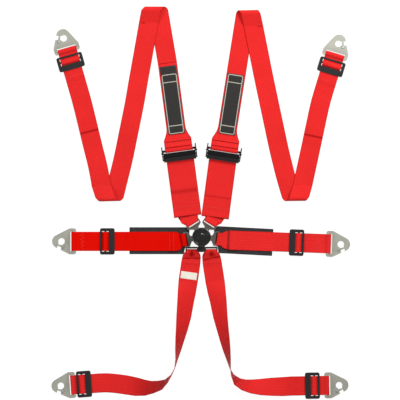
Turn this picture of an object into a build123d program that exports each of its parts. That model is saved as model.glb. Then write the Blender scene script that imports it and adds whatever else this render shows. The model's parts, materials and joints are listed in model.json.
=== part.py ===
from build123d import *
from math import atan2, cos, degrees, radians, sin
import os

os.makedirs("parts", exist_ok=True)

# A six-point racing harness laid out flat. +X is to the wearer's left as the harness lies face up,
# +Y runs up the shoulder straps and +Z is up from the floor. The origin is the centre of the
# buckle's back face. All lengths are in millimetres and all angles in degrees.

# ---------------------------------------------------------------- webbing
WEB = 1.4                # thickness of one layer
GAP = 0.2                # air between two layers that lie on each other
PLY = WEB + GAP
FLOOR_Z = WEB / 2        # centre of a layer that lies on the floor
SECOND_Z = FLOOR_Z + PLY  # centre of a layer that lies on another
NARROW, WIDE = 50.0, 71.0
SLOT_WEB = 32.5          # the webbing is gathered to this width in the buckle's slots
CLEAR = 0.3              # least air between metal and webbing
TAIL_Z = 3.9             # height of the lower shoulder straps' tails
SEWN_END = 36.0          # how far the upper strap's loop is sewn back, from the adjuster's centre
FOLD_R = 7.0             # curl of the loose folds
LAP_TAIL, SHOULDER_TAIL = 14.0, 28.0
TO_SLIDE = 36.0          # from a strap's last bend to its slide

# ---------------------------------------------------------------- buckle stack
BASE_R, KNOB_R = 23.0, 25.0
COVER_T, PLATE_T = 2.5, 3.0
PLATE_Z = COVER_T                        # crotch plate lies on the back cover
BASE_Z = PLATE_Z + PLATE_T               # the base lies on the crotch plate
TONGUE_Z = BASE_Z + 0.5                  # underside of the four tongues
TONGUE_T = 3.0
DECK_Z = TONGUE_Z + TONGUE_T + 0.3       # underside of the deck that guides the pins
DECK_T = 1.5
BASE_TOP = 27.0
ROOF_T = 2.0
PIN_R, PIN_AT = 2.0, 15.0
PIN_BITE = 1.0                           # how far a pin reaches into its tongue
CAM_H = 2.4
PIN_PLATE_Z = DECK_Z + DECK_T + CAM_H + 0.6
PIN_PLATE_T = 1.6
KNOB_Z, KNOB_H = BASE_TOP + 0.5, 6.5
SHAFT_R = 4.0

# ---------------------------------------------------------------- tongues
NECK_W, NOSE_W, NOSE_AT = 15.0, 8.0, 7.7
TONGUE_W = 40.0
TONGUE_SLOT_AT, TONGUE_BAR_AT, BAR_L = 38.0, 44.25, 4.5
TONGUE_LOOP_R = TONGUE_T / 2 + CLEAR + WEB / 2
LOOP_AT = TONGUE_BAR_AT - (BAR_L - TONGUE_T) / 2
SHOULDER_TONGUE = 32.2                   # angle of a shoulder tongue from +Y
LAP_TONGUE_LEFT, LAP_TONGUE_RIGHT = 10.0, 7.0  # how far each lap tongue points below level
WINDOW_SLACK = 2.8                       # play between pin and window, on the knob's side
SCREW_R, SCREW_AT, SCREW_DEEP = 1.5, 19.5, 3.0
SCREW_ANGLES = (90.0, 232.0, 308.0)      # clear of the four tongue channels
LEG_X, LEG_BAR_Y, LEG_SPLAY, LEG_SLOT_L = 25.5, -35.75, 7.8, 27.0

# ---------------------------------------------------------------- snap hooks
HOOK_T = 3.0
HOOK_Z = 4.6                             # height of the hook's middle plane
EAR_W = 69.0
EYE_AT, EYE_R, NOSE_R = 30.0, 8.5, 18.0
MOUTH_W, MOUTH_ANGLE = 11.0, 70.0
HOOK_BAR_R, HOOK_LOOP_R = 2.4, 3.5
RIVET_R = 2.0

# ---------------------------------------------------------------- three-bar slides
SLIDE_W, SLIDE_T, SLIDE_Z = 70.0, 2.5, 3.3
WIDE_BAR, SLIDE_SLOT, MIDDLE_BAR, THIN_BAR = 15.0, 7.0, 5.0, 5.0
SLIDE_L = WIDE_BAR + 2 * SLIDE_SLOT + MIDDLE_BAR + THIN_BAR
WEAVE_START = 14.5                       # from the slide's inner edge to the first bend
WEAVE_ANGLE = 50.0
WEAVE_R, WEAVE_RUN = 2.0, 5.35

# ---------------------------------------------------------------- shoulder adjusters
ADJ_W, ADJ_SIDE_T = 93.0, 3.0
ADJ_LOW, ADJ_HIGH = -19.0, 19.0          # reach of the side walls along the strap
TOP_BAR_AT, TOP_BAR_Z = 6.5, 8.0
GRIP_AT, GRIP_Z, GRIP_R, GRIP_TURN_R = -8.0, 7.6, 4.5, 6.9
LEVER_PIVOT_AT, LEVER_PIVOT_Z = 1.0, 15.5


def save(part, name):
    """Labels a finished piece and writes it as its own STEP file."""
    part.label = name
    export_step(part, f"parts/{name}.step")


def frame_at(x, y, heading, z=0.0):
    """A plane with +X along the heading (degrees from +X) and +Z up."""
    return Plane(origin=(x, y, z), x_dir=Vector(1, 0, 0).rotate(Axis.Z, heading), z_dir=(0, 0, 1))


def cross_bar(place, at, z, length, width, height):
    """A round-edged bar across the strap."""
    bar = Plane(origin=place.from_local_coords((at, 0, z)), x_dir=place.x_dir, z_dir=place.y_dir)
    with BuildSketch(bar.offset(-length / 2)) as section:
        SlotOverall(width, height)
    extrude(section.sketch, amount=length)


class Strap:
    """Walks along the middle of a strap and notes a cross-section wherever it bends.

    ahead is where the strap runs, across is the line of its section and up is its face normal.
    A fold turns the strap about a line that isn't square to it, so across can be oblique.
    """

    def __init__(self, x, y, z, heading, width, side=1):
        self.at = Vector(x, y, z)
        self.ahead = Vector(1, 0, 0).rotate(Axis.Z, heading)
        self.across = self.ahead.rotate(Axis.Z, 90) * side
        self.up = Vector(0, 0, side)
        self.width = width
        self.sections = []
        self.mark()

    def mark(self):
        skew = self.across.cross(self.ahead).length
        self.sections.append((self.at, self.across, self.up, self.width / skew))

    def go(self, length, rise=0.0, width=None):
        """Straight on for a length measured along the floor, climbing by rise."""
        self.at += self.ahead * length + Vector(0, 0, rise)
        self.width = width or self.width
        self.mark()

    def to(self, x, y, layer=0, width=None):
        """Veers towards a point and goes there, ending on the floor (layer 0) or one layer up."""
        step = Vector(x - self.at.X, y - self.at.Y)
        self.veer(degrees(atan2(step.Y, step.X)))
        self.go(step.length, FLOOR_Z + layer * PLY - self.at.Z, width)

    def straight(self, length):
        """Straight on along a pitched strap."""
        self.at += self.ahead * length
        self.mark()

    def veer(self, heading):
        """Turns in its own plane, mitred at this section."""
        side = 1 if self.up.Z > 0 else -1
        new = Vector(1, 0, 0).rotate(Axis.Z, heading)
        self.sections.pop()
        self.across = (self.ahead + new).normalized().rotate(Axis.Z, 90) * side
        self.mark()
        self.ahead = new
        self.across = new.rotate(Axis.Z, 90) * side

    def bend(self, angle, radius, slip=Vector()):
        """Curls up (positive) or down about the section line, drifting by slip on the way."""
        steps = max(2, round(abs(angle) / 22))
        along = self.across * self.ahead.dot(self.across)
        out = self.ahead - along
        drift = along * (1 / out.length)
        u, n = out.normalized(), self.up * (1 if angle > 0 else -1)
        start, turn = self.at, radians(abs(angle))
        for i in range(1, steps + 1):
            a = turn * i / steps
            self.at = start + u * (radius * sin(a)) + n * (radius * (1 - cos(a)))
            self.at += drift * (radius * a) + slip * (i / steps)
            self.up = (n * cos(a) - u * sin(a)) * (1 if angle > 0 else -1)
            self.ahead = along + (u * cos(a) + n * sin(a)) * out.length
            self.mark()

    def section_line(self, heading):
        """Turns the section line to a heading, for a fold about that line."""
        line = Vector(1, 0, 0).rotate(Axis.Z, heading)
        self.across = line if line.dot(self.across) > 0 else line * -1
        self.sections.pop()
        self.mark()

    def square(self):
        """Turns the section line square to the strap again, with the face up."""
        flat = Vector(self.ahead.X, self.ahead.Y, 0).normalized()
        line = flat.rotate(Axis.Z, 90)
        self.across = line if line.dot(self.across) > 0 else line * -1
        self.ahead = flat
        self.sections.pop()
        self.mark()

    def solid(self):
        with BuildPart() as strap:
            for at, across, up, width in self.sections:
                with BuildSketch(Plane(origin=at, x_dir=across, z_dir=across.cross(up))):
                    Rectangle(width, WEB)
            loft(ruled=True)
        return strap.part


def slope(strap, angle, radius, z):
    """Slopes to another height: a bend, a straight run and the same bend back."""
    way = 1 if z > strap.at.Z else -1
    side = 1 if strap.up.Z > 0 else -1
    gained = 2 * radius * (1 - cos(radians(angle)))
    run = (abs(z - strap.at.Z) - gained) / sin(radians(angle))
    strap.bend(angle * way * side, radius)
    strap.straight(run)
    strap.bend(-angle * way * side, radius)


def fold(strap, heading, radius, z, slip):
    """Folds the strap over itself to a new heading and lays it down at height z.

    A loose fold also slips sideways, towards +X when slip is positive.
    """
    old = degrees(atan2(strap.ahead.Y, strap.ahead.X)) % 360
    side = 1 if strap.up.Z > 0 else -1
    dip, ease = 20.0, 14.0
    strap.section_line((old + heading) / 2)
    top = strap.at.Z + radius * (1 + cos(radians(dip)))
    run = (top - z - ease * (1 - cos(radians(dip)))) / sin(radians(dip))
    strap.bend((180 + dip) * side, radius, Vector(slip, 0, 0))
    strap.straight(run)
    strap.bend(-dip * side, ease)
    strap.square()


def weave_over(strap, inner):
    """Over the middle bar of a slide. The inner layer lies on the bar, the outer on the inner."""
    first, second = (WEAVE_R + PLY, WEAVE_R) if inner else (WEAVE_R, WEAVE_R + PLY)
    side = strap.up.Z / abs(strap.up.Z)
    strap.bend(WEAVE_ANGLE * side, first)
    strap.straight(WEAVE_RUN)
    strap.bend(-WEAVE_ANGLE * side, second)
    strap.go(weave_flat())
    strap.bend(-WEAVE_ANGLE * side, second)
    strap.straight(WEAVE_RUN)
    strap.bend(WEAVE_ANGLE * side, first)


def weave_rise():
    """Length along the strap from the first bend of the weave to its flat top."""
    a = radians(WEAVE_ANGLE)
    return (2 * WEAVE_R + PLY) * sin(a) + WEAVE_RUN * cos(a)


def weave_flat():
    """Flat stretch over the middle bar, centred on that bar."""
    middle = WIDE_BAR + SLIDE_SLOT + MIDDLE_BAR / 2
    return 2 * (middle - WEAVE_START - weave_rise())


def hook_end(strap, to_slide, slide_to_hook, tail):
    """Through the slide, round the hook's crossbar and back, with the tail under the strap.

    to_slide runs from here to the slide's inner edge, slide_to_hook from its outer edge to the
    crossbar's axis. Both are measured along the strap.
    """
    reach = WEAVE_START + 2 * weave_rise() + weave_flat()
    rise, drop = 6.0, 3.0
    side = 1 if strap.up.Z > 0 else -1
    strap.go(to_slide - tail - 4)
    strap.go(4, SECOND_Z - strap.at.Z)
    strap.go(tail + WEAVE_START)
    weave_over(strap, inner=False)
    past = SLIDE_L + slide_to_hook - reach
    top = HOOK_Z + HOOK_LOOP_R
    strap.go(past - rise - 4)
    strap.go(rise, top - SECOND_Z)
    strap.go(4)
    strap.bend(-180 * side, HOOK_LOOP_R)
    strap.go(4)
    strap.go(drop, FLOOR_Z - strap.at.Z)
    strap.go(past - drop - 4)
    weave_over(strap, inner=True)
    strap.go(WEAVE_START + tail - 5)


# ---------------------------------------------------------------- buckle
def tongue_directions():
    """Each tongue's name and heading."""
    return {
        "shoulder_left": 90 + SHOULDER_TONGUE,
        "shoulder_right": 90 - SHOULDER_TONGUE,
        "lap_left": 180 + LAP_TONGUE_LEFT,
        "lap_right": -LAP_TONGUE_RIGHT,
    }


def screw_spots():
    return [(SCREW_AT * cos(radians(a)), SCREW_AT * sin(radians(a))) for a in SCREW_ANGLES]


def make_back_cover():
    with BuildPart() as cover:
        Cylinder(BASE_R - 1, COVER_T, align=(Align.CENTER, Align.CENTER, Align.MIN))
        fillet(cover.faces().sort_by(Axis.Z)[0].edges(), 0.5)
        with Locations(*screw_spots()):
            Hole(SCREW_R + 0.2)
    save(cover.part, "back_cover")


def make_crotch_plate():
    with BuildPart() as plate:
        with BuildSketch(Plane.XY.offset(PLATE_Z)):
            Circle(BASE_R - 1)
            with Locations((0, LEG_BAR_Y + 7.75)):
                RectangleRounded(18, 24, 2)
            for side in (-1, 1):
                with Locations((side * LEG_X, LEG_BAR_Y + 3.75)):
                    RectangleRounded(LEG_SLOT_L + 7, 12, 2)
            with Locations(*screw_spots()):
                Circle(SCREW_R + 0.2, mode=Mode.SUBTRACT)
        extrude(amount=PLATE_T)
        for side in (-1, 1):
            with BuildSketch(Plane.XY.offset(PLATE_Z)):
                with Locations((side * LEG_X, LEG_BAR_Y + 1.2)):
                    Rectangle(LEG_SLOT_L, 8.0)
            extrude(amount=PLATE_T, mode=Mode.SUBTRACT)
            arm = frame_at(side * LEG_X, LEG_BAR_Y, 90)
            cross_bar(arm, 0, PLATE_Z + PLATE_T / 2, LEG_SLOT_L + 3, BAR_L, PLATE_T)
    save(plate.part, "crotch_plate")


def make_buckle_base():
    with BuildPart() as base:
        with BuildSketch(Plane.XY.offset(BASE_Z)):
            Circle(BASE_R)
        extrude(amount=BASE_TOP - BASE_Z)
        fillet(base.faces().sort_by(Axis.Z)[-1].edges(), 1.0)
        with BuildSketch(Plane.XY.offset(DECK_Z + DECK_T)):
            Circle(BASE_R - 2.5)
        extrude(amount=BASE_TOP - ROOF_T - DECK_Z - DECK_T, mode=Mode.SUBTRACT)
        for heading in tongue_directions().values():
            with BuildSketch(Plane.XY.offset(TONGUE_Z - 0.3)):
                with Locations(Location((0, 0, 0), heading)):
                    with Locations((16.5, 0)):
                        Rectangle(21, NECK_W + 0.8)
            extrude(amount=DECK_Z - TONGUE_Z + 0.3, mode=Mode.SUBTRACT)
            with BuildSketch(Plane.XY.offset(DECK_Z - 0.1)):
                with Locations(Location((0, 0, 0), heading)):
                    with Locations((PIN_AT, 0)):
                        Circle(PIN_R + 0.3)
            extrude(amount=DECK_T + 0.2, mode=Mode.SUBTRACT)
        with BuildSketch(Plane.XY.offset(DECK_Z)):
            Circle(SHAFT_R + 0.3)
        extrude(amount=BASE_TOP - DECK_Z, mode=Mode.SUBTRACT)
        with BuildSketch(Plane.XY.offset(BASE_Z)):
            with Locations(*screw_spots()):
                Circle(SCREW_R + 0.05)
        extrude(amount=SCREW_DEEP + 0.5, mode=Mode.SUBTRACT)
    save(base.part, "buckle_base")


def make_base_screws():
    with BuildPart() as screws:
        with BuildSketch(Plane.XY.offset(0.3)):
            with Locations(*screw_spots()):
                Circle(SCREW_R)
        extrude(amount=BASE_Z + SCREW_DEEP - 0.3)
    save(screws.part, "base_screws")


def make_lock_pins():
    with BuildPart() as pins:
        with BuildSketch(Plane.XY.offset(PIN_PLATE_Z)):
            Circle(BASE_R - 3.2)
            Circle(SHAFT_R + 0.6, mode=Mode.SUBTRACT)
        extrude(amount=PIN_PLATE_T)
        with BuildSketch(Plane.XY.offset(TONGUE_Z + TONGUE_T - PIN_BITE)):
            for heading in tongue_directions().values():
                with Locations(Location((0, 0, 0), heading)):
                    with Locations((PIN_AT, 0)):
                        Circle(PIN_R)
        extrude(amount=PIN_PLATE_Z - (TONGUE_Z + TONGUE_T - PIN_BITE) + 0.5)
    save(pins.part, "lock_pins")


def make_pin_spring():
    low, high = PIN_PLATE_Z + PIN_PLATE_T, BASE_TOP - ROOF_T
    wire_r, coil_r, turns = 0.7, SHAFT_R + 3.0, 4
    rise = high - low - 2 * wire_r - 0.2
    with BuildPart() as spring:
        with BuildLine():
            path = Helix(rise / turns, rise, coil_r, center=(0, 0, low + wire_r + 0.1))
        with BuildSketch(Plane(origin=path @ 0, z_dir=path % 0)):
            Circle(wire_r)
        sweep(is_frenet=True)
    save(spring.part, "pin_spring")


def make_cam_rotor():
    with BuildPart() as rotor:
        with BuildSketch(Plane.XY.offset(DECK_Z + 0.2)):
            Circle(SHAFT_R)
        extrude(amount=KNOB_Z - DECK_Z - 0.2)
        with BuildSketch(Plane.XY.offset(DECK_Z + DECK_T + 0.3)):
            Circle(SHAFT_R + 2)
            with PolarLocations(SHAFT_R + 3.5, 3, start_angle=80):
                Rectangle(6, 5)
        extrude(amount=CAM_H)
    save(rotor.part, "cam_rotor")


def make_knob():
    """A round knob: rounded rim, sunk dish, plain domed cap and three swept finger ramps."""
    top, dish = KNOB_Z + KNOB_H, KNOB_Z + KNOB_H - 2.2
    with BuildPart() as knob:
        with BuildSketch(Plane.XZ):
            with BuildLine():
                rim = Line((KNOB_R, KNOB_Z), (KNOB_R, top - 2.6))
                edge = RadiusArc(rim @ 1, (KNOB_R - 2.6, top), -2.6)
                lip = Polyline(
                    edge @ 1, (KNOB_R - 4.2, top), (KNOB_R - 5.2, dish), (10.5, dish), (10.5, top + 1.2))
                cap = RadiusArc(lip @ 1, (9.3, top + 2.4), -1.2)
                dome = ThreePointArc(cap @ 1, (5.8, top + 2.95), (2, top + 3.2))
                Polyline(dome @ 1, (0, top + 3.2), (0, KNOB_Z), (KNOB_R, KNOB_Z))
            make_face()
        revolve(axis=Axis.Z)
        with BuildSketch(Plane.XY.offset(dish - 0.5)):
            with PolarLocations(0, 3, start_angle=20):
                with BuildLine():
                    inner = ThreePointArc((9.6, -2), (16, 1), (21.6, 9))
                    Line(inner @ 1, (18.5, 14))
                    ThreePointArc((18.5, 14), (12.5, 9), (7.5, 6.5))
                    Line((7.5, 6.5), inner @ 0)
                make_face()
        extrude(amount=3.6)
    save(knob.part, "knob")


def make_tongue(name, heading):
    """A flat plate: nose with a window for the lock pin, neck, head with a slot, and a round bar."""
    place = frame_at(0, 0, heading)
    with BuildPart() as tongue:
        with BuildSketch(place.offset(TONGUE_Z)):
            with BuildLine():
                half = [(NOSE_AT, NOSE_W / 2), (15, NECK_W / 2), (27.5, NECK_W / 2),
                        (33.5, TONGUE_W / 2 - 1.5), (36, TONGUE_W / 2),
                        (TONGUE_BAR_AT + 1.5, TONGUE_W / 2)]
                Polyline(half + [(x, -y) for x, y in reversed(half)] + [half[0]])
            make_face()
            with Locations(((PIN_AT - PIN_R - WINDOW_SLACK + PIN_AT + PIN_R + 0.4) / 2, 0)):
                Rectangle(2 * PIN_R + WINDOW_SLACK + 0.4, 2 * PIN_R + 0.8, mode=Mode.SUBTRACT)
            with Locations((TONGUE_SLOT_AT + 6, 0)):
                Rectangle(12, SLOT_WEB + 1.5, mode=Mode.SUBTRACT)
        extrude(amount=TONGUE_T)
        cross_bar(place, TONGUE_BAR_AT, TONGUE_Z + TONGUE_T / 2, TONGUE_W, BAR_L, TONGUE_T)
    save(tongue.part, f"{name}_tongue")


make_back_cover()
make_crotch_plate()
make_buckle_base()
make_base_screws()
make_lock_pins()
make_pin_spring()
make_cam_rotor()
make_knob()
for tongue_name, tongue_heading in tongue_directions().items():
    make_tongue(tongue_name, tongue_heading)


# ---------------------------------------------------------------- snap hooks
def along(angle, dist, side=1):
    """A point at a distance in a direction, mirrored to the other side of the hook by side=-1."""
    return Vector(dist * cos(radians(angle)), side * dist * sin(radians(angle)))


def gate_pivot(side):
    """The rivet stands beside the mouth, on the crossbar's side of it."""
    return Vector(EYE_AT, 0) + along(MOUTH_ANGLE, 12, side) + along(MOUTH_ANGLE + 90, 9.5, side)


def make_hook(name, place, side):
    """Flat hook plate: two ears, a crossbar for the webbing and an eye with a mouth to one side."""
    with BuildPart() as hook:
        with BuildSketch(place.offset(HOOK_Z - HOOK_T / 2)):
            for x, y, r in ((-3, EAR_W / 2 - 6, 6), (7, EAR_W / 2 - 8, 8)):
                with Locations((x, y), (x, -y)):
                    Circle(r)
            with Locations((EYE_AT + 7, 0)):
                Circle(NOSE_R)
            make_hull()
            with Locations(((6.5 - 12) / 2, 0)):
                Rectangle(18.5, NARROW + 2, mode=Mode.SUBTRACT)
            with Locations((EYE_AT, 0)):
                Circle(EYE_R, mode=Mode.SUBTRACT)
            mouth = Vector(EYE_AT, 0) + along(MOUTH_ANGLE, 15, side)
            with Locations(Location((mouth.X, mouth.Y, 0), side * MOUTH_ANGLE)):
                Rectangle(30, MOUTH_W, mode=Mode.SUBTRACT)
            with Locations(gate_pivot(side)):
                Circle(RIVET_R + 0.05, mode=Mode.SUBTRACT)
        extrude(amount=HOOK_T)
        length = NARROW + 4
        bar = Plane(origin=place.from_local_coords((0, 0, HOOK_Z)), x_dir=place.x_dir, z_dir=place.y_dir)
        with BuildSketch(bar.offset(-length / 2)) as section:
            Circle(HOOK_BAR_R)
        extrude(section.sketch, amount=length)
    save(hook.part, f"{name}_hook")


def make_gate(name, place, side):
    """A folded gate: a leaf over and a leaf under the plate, joined by a web across the mouth."""
    pivot = gate_pivot(side)
    leaf_t, leaf_gap = 1.0, 0.3
    low, high = HOOK_Z - HOOK_T / 2 - leaf_gap - leaf_t, HOOK_Z + HOOK_T / 2 + leaf_gap
    tip = pivot - along(MOUTH_ANGLE + 90, 15.5, side)
    web = pivot - along(MOUTH_ANGLE + 90, 10.0, side)
    with BuildPart() as gate:
        for z in (low, high):
            with BuildSketch(place.offset(z)):
                with Locations(pivot):
                    Circle(3.8)
                with Locations(tip):
                    Circle(1.8)
                make_hull()
                with Locations(pivot):
                    Circle(RIVET_R + 0.1, mode=Mode.SUBTRACT)
            extrude(amount=leaf_t)
        with BuildSketch(place.offset(low)):
            with Locations(Location((web.X, web.Y, 0), side * (MOUTH_ANGLE + 90))):
                Rectangle(9.2, 1.4)
        extrude(amount=high + leaf_t - low)
    save(gate.part, f"{name}_gate")


def make_rivet(name, place, side):
    pivot = gate_pivot(side)
    head_r, head_t, low, high = 3.0, 0.9, 0.7, 8.7
    with BuildPart() as rivet:
        with BuildSketch(place.offset(low)):
            with Locations(pivot):
                Circle(head_r)
        extrude(amount=head_t)
        with BuildSketch(place.offset(low)):
            with Locations(pivot):
                Circle(RIVET_R)
        extrude(amount=high - low)
        with BuildSketch(place.offset(high - 0.2)):
            with Locations(pivot):
                Circle(head_r)
        extrude(amount=head_t)
    save(rivet.part, f"{name}_rivet")


def make_gate_spring(name, place, side):
    """A flat coil of spring wire round the rivet with a short arm along the gate."""
    pivot = gate_pivot(side)
    wire, coil_r = 0.7, 2.6
    arm = pivot - along(MOUTH_ANGLE + 90, coil_r + 1.5, side)
    with BuildPart() as spring:
        with BuildSketch(place.offset(7.7)):
            with Locations(pivot):
                Circle(coil_r + wire / 2)
            with Locations(Location((arm.X, arm.Y, 0), side * (MOUTH_ANGLE + 90))):
                Rectangle(4, wire)
            with Locations(pivot):
                Circle(coil_r - wire / 2, mode=Mode.SUBTRACT)
        extrude(amount=wire)
    save(spring.part, f"{name}_gate_spring")


# ---------------------------------------------------------------- three-bar slides
def slide_plate(place):
    """A flat frame with a wide bar on the buckle's side, a middle bar and a thin bar."""
    slot_w = NARROW + 4
    with BuildSketch(place.offset(SLIDE_Z)) as outline:
        with Locations((SLIDE_L / 2, 0)):
            RectangleRounded(SLIDE_L, SLIDE_W, 5)
        for x in (WIDE_BAR, WIDE_BAR + SLIDE_SLOT + MIDDLE_BAR):
            with Locations((x + SLIDE_SLOT / 2, 0)):
                RectangleRounded(SLIDE_SLOT, slot_w, 1.5, mode=Mode.SUBTRACT)
    extrude(outline.sketch, amount=SLIDE_T)


def make_slide(name, *places):
    with BuildPart() as slide:
        for place in places:
            slide_plate(place)
    save(slide.part, name)


# ---------------------------------------------------------------- shoulder adjusters
def side_view(place, offset):
    """A plane seen from the strap's edge: X along the strap, Y up."""
    return Plane(origin=place.origin, x_dir=place.x_dir, z_dir=place.y_dir * -1).offset(offset)


def make_adjuster_frame(name, place):
    """Two side walls joined by the bar that the upper strap loops round and by a low bar."""
    inside = ADJ_W / 2 - ADJ_SIDE_T
    with BuildPart() as frame:
        for offset in (-ADJ_W / 2, inside):
            with BuildSketch(side_view(place, offset)):
                with BuildLine():
                    Polyline((ADJ_LOW, 1.5), (ADJ_HIGH - 3, 1.5), (ADJ_HIGH, 5), (ADJ_HIGH - 1, 12),
                             (7, 20), (-4, 20), (-13, 15), (ADJ_LOW, 8), (ADJ_LOW, 1.5))
                make_face()
                with Locations((LEVER_PIVOT_AT, LEVER_PIVOT_Z)):
                    Circle(2.1, mode=Mode.SUBTRACT)
                with Locations((GRIP_AT, GRIP_Z)):
                    Circle(2.55, mode=Mode.SUBTRACT)
            extrude(amount=ADJ_SIDE_T)
        cross_bar(place, TOP_BAR_AT, TOP_BAR_Z, ADJ_W - 2, 6, 4)
        cross_bar(place, ADJ_LOW + 3, 3.1, ADJ_W - 2, 5, 2)
    save(frame.part, f"{name}_adjuster_frame")


def make_grip_bar(name, place):
    """The bar that the lower strap turns round: flats along it grip the webbing."""
    length = ADJ_W - 2 * ADJ_SIDE_T - 1
    with BuildPart() as bar:
        with BuildSketch(side_view(place, -length / 2)):
            with Locations((GRIP_AT, GRIP_Z)):
                RegularPolygon(GRIP_R, 16)
        extrude(amount=length)
        with BuildSketch(side_view(place, -ADJ_W / 2)):
            with Locations((GRIP_AT, GRIP_Z)):
                Circle(2.5)
        extrude(amount=ADJ_W)
    save(bar.part, f"{name}_grip_bar")


def make_lever(name, place):
    """Release lever: a curved cover over the grip bar, two cheeks and two pivot pins."""
    cheek_t, cheek_at, width = 2.0, ADJ_W / 2 - ADJ_SIDE_T - 0.5, ADJ_W - 2 * ADJ_SIDE_T - 1
    with BuildPart() as lever:
        with BuildSketch(side_view(place, -width / 2)):
            with BuildLine():
                Polyline((1, 16.8), (-8.5, 16.8), (-14.5, 14.9), (-19.4, 10.9), (-22.6, 10.2),
                         (-22.6, 12.0), (-20.2, 12.7), (-15.4, 16.5), (-9, 18.7), (1, 18.7), (1, 16.8))
            make_face()
        extrude(amount=width)
        for offset in (-cheek_at, cheek_at - cheek_t):
            with BuildSketch(side_view(place, offset)):
                with BuildLine():
                    Polyline((3.6, 13.5), (-11, 13.5), (-14, 15.3), (-9, 18.5), (3.6, 18.5), (3.6, 13.5))
                make_face()
            extrude(amount=cheek_t)
        for offset in (-ADJ_W / 2 - 1.5, cheek_at - 0.5):
            with BuildSketch(side_view(place, offset)):
                with Locations((LEVER_PIVOT_AT, LEVER_PIVOT_Z)):
                    Circle(2.0)
            extrude(amount=ADJ_SIDE_T + 2.5)
    save(lever.part, f"{name}_adjuster_lever")


# ---------------------------------------------------------------- webbing
def point(radius, heading):
    return radius * cos(radians(heading)), radius * sin(radians(heading))


def lap_strap(tongue_heading, veer_x, heading, pad_end, hook_x, slide_to_hook):
    """From the tongue over the pad to the slide and the hook."""
    side = 1 if veer_x > 0 else -1
    reach = abs(veer_x / cos(radians(tongue_heading)))
    x, y = point(reach, tongue_heading)
    dx, dy = point(14, heading)
    low_z = TONGUE_Z + TONGUE_T / 2 - TONGUE_LOOP_R
    strap = Strap(x + dx, y + dy, low_z, heading + 180, NARROW, side=-1)
    strap.go(14, width=48)
    strap.veer(tongue_heading + 180)
    strap.go(reach - LOOP_AT - 8, width=SLOT_WEB)
    strap.go(8)
    strap.bend(-180, TONGUE_LOOP_R)
    strap.go(1)
    slope(strap, 20, 5, low_z + PLY)
    strap.go(reach - (strap.at.X**2 + strap.at.Y**2) ** 0.5, width=46)
    strap.veer(heading)
    strap.go(14, width=NARROW)
    strap.go(6, -PLY)
    rate = abs(cos(radians(heading)))
    strap.go(abs(pad_end - strap.at.X) / rate + 3)
    slope(strap, 15, 8, SECOND_Z)
    outer = hook_x - side * slide_to_hook * rate
    inner = outer - side * SLIDE_L * rate
    slide = frame_at(inner, line_y(strap, inner), heading)
    to_slide = abs(inner - strap.at.X) / rate
    hook_end(strap, to_slide, slide_to_hook, LAP_TAIL)
    return strap, slide, frame_at(hook_x, line_y(strap, hook_x), heading)


def line_y(strap, x):
    """Where the strap's straight line has a given x."""
    return strap.at.Y + (x - strap.at.X) * strap.ahead.Y / strap.ahead.X


def lower_shoulder(tongue_heading, heading, adjuster, hem_y):
    """From the tongue up to the grip bar, round it and back down on top to the hem."""
    line, ray = Vector(*point(1, heading)), Vector(*point(1, tongue_heading))
    reach = Vector(*adjuster).cross(line).Z / ray.cross(line).Z
    start = ray * reach + line * 12
    strap = Strap(start.X, start.Y, FLOOR_Z, heading + 180, 64, side=-1)
    strap.go(12, width=50)
    strap.veer(tongue_heading + 180)
    bar_z = TONGUE_Z + TONGUE_T / 2
    slope(strap, 25, 4, bar_z - TONGUE_LOOP_R)
    strap.go((strap.at.X**2 + strap.at.Y**2) ** 0.5 - LOOP_AT, width=SLOT_WEB)
    strap.bend(-180, TONGUE_LOOP_R)
    strap.go(1)
    slope(strap, 25, 4, SECOND_Z)
    strap.go(reach - (strap.at.X**2 + strap.at.Y**2) ** 0.5, width=52)
    strap.veer(heading)
    strap.go(14, width=66)
    strap.go(8, -PLY, width=WIDE)
    to_bar = (Vector(*adjuster) - Vector(strap.at.X, strap.at.Y)).length + GRIP_AT
    strap.go(to_bar)
    strap.bend(180, GRIP_TURN_R)
    strap.go(2)
    slope(strap, 35, 6, TAIL_Z)
    strap.go((strap.at.Y - hem_y) / sin(radians(heading)))
    return strap


def upper_shoulder(adjuster, heading, top, down_fold, down, up_fold, up, hook_gap):
    """From the adjuster up to the first fold, down to the second, and up to the slide and hook.

    top, down and up hold the points (x, y, layer) each run goes through. A fold is given by the
    heading it turns to and its slip.
    """
    place = frame_at(*adjuster, heading)
    start = place.from_local_coords((SEWN_END, 0, FLOOR_Z))
    strap = Strap(start.X, start.Y, FLOOR_Z, heading + 180, 66, side=-1)
    strap.go(6, width=WIDE)
    loop_at = TOP_BAR_AT - 1
    strap.go(SEWN_END - 6 - 18)
    slope(strap, 25, 5, TOP_BAR_Z - 3)
    strap.go(place.to_local_coords(strap.at).X - loop_at)
    strap.bend(-180, 3)
    strap.go(3.5)
    slope(strap, 20, 6, SECOND_Z)
    strap.go(SEWN_END + 1 - place.to_local_coords(strap.at).X, width=68)
    strap.go(6, -PLY, width=62)
    strap.go(17, width=NARROW)
    for spot in top:
        strap.to(*spot)
    for (turned, slip), run in ((down_fold, down), (up_fold, up)):
        fold(strap, turned, FOLD_R, SECOND_Z, slip)
        for spot in run:
            strap.to(*spot)
    last = degrees(atan2(strap.ahead.Y, strap.ahead.X))
    inner = strap.at + strap.ahead * TO_SLIDE
    bar = inner + strap.ahead * (SLIDE_L + hook_gap)
    hook_end(strap, TO_SLIDE, hook_gap, SHOULDER_TAIL)
    return strap, frame_at(inner.X, inner.Y, last), frame_at(bar.X, bar.Y, last)


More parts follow.
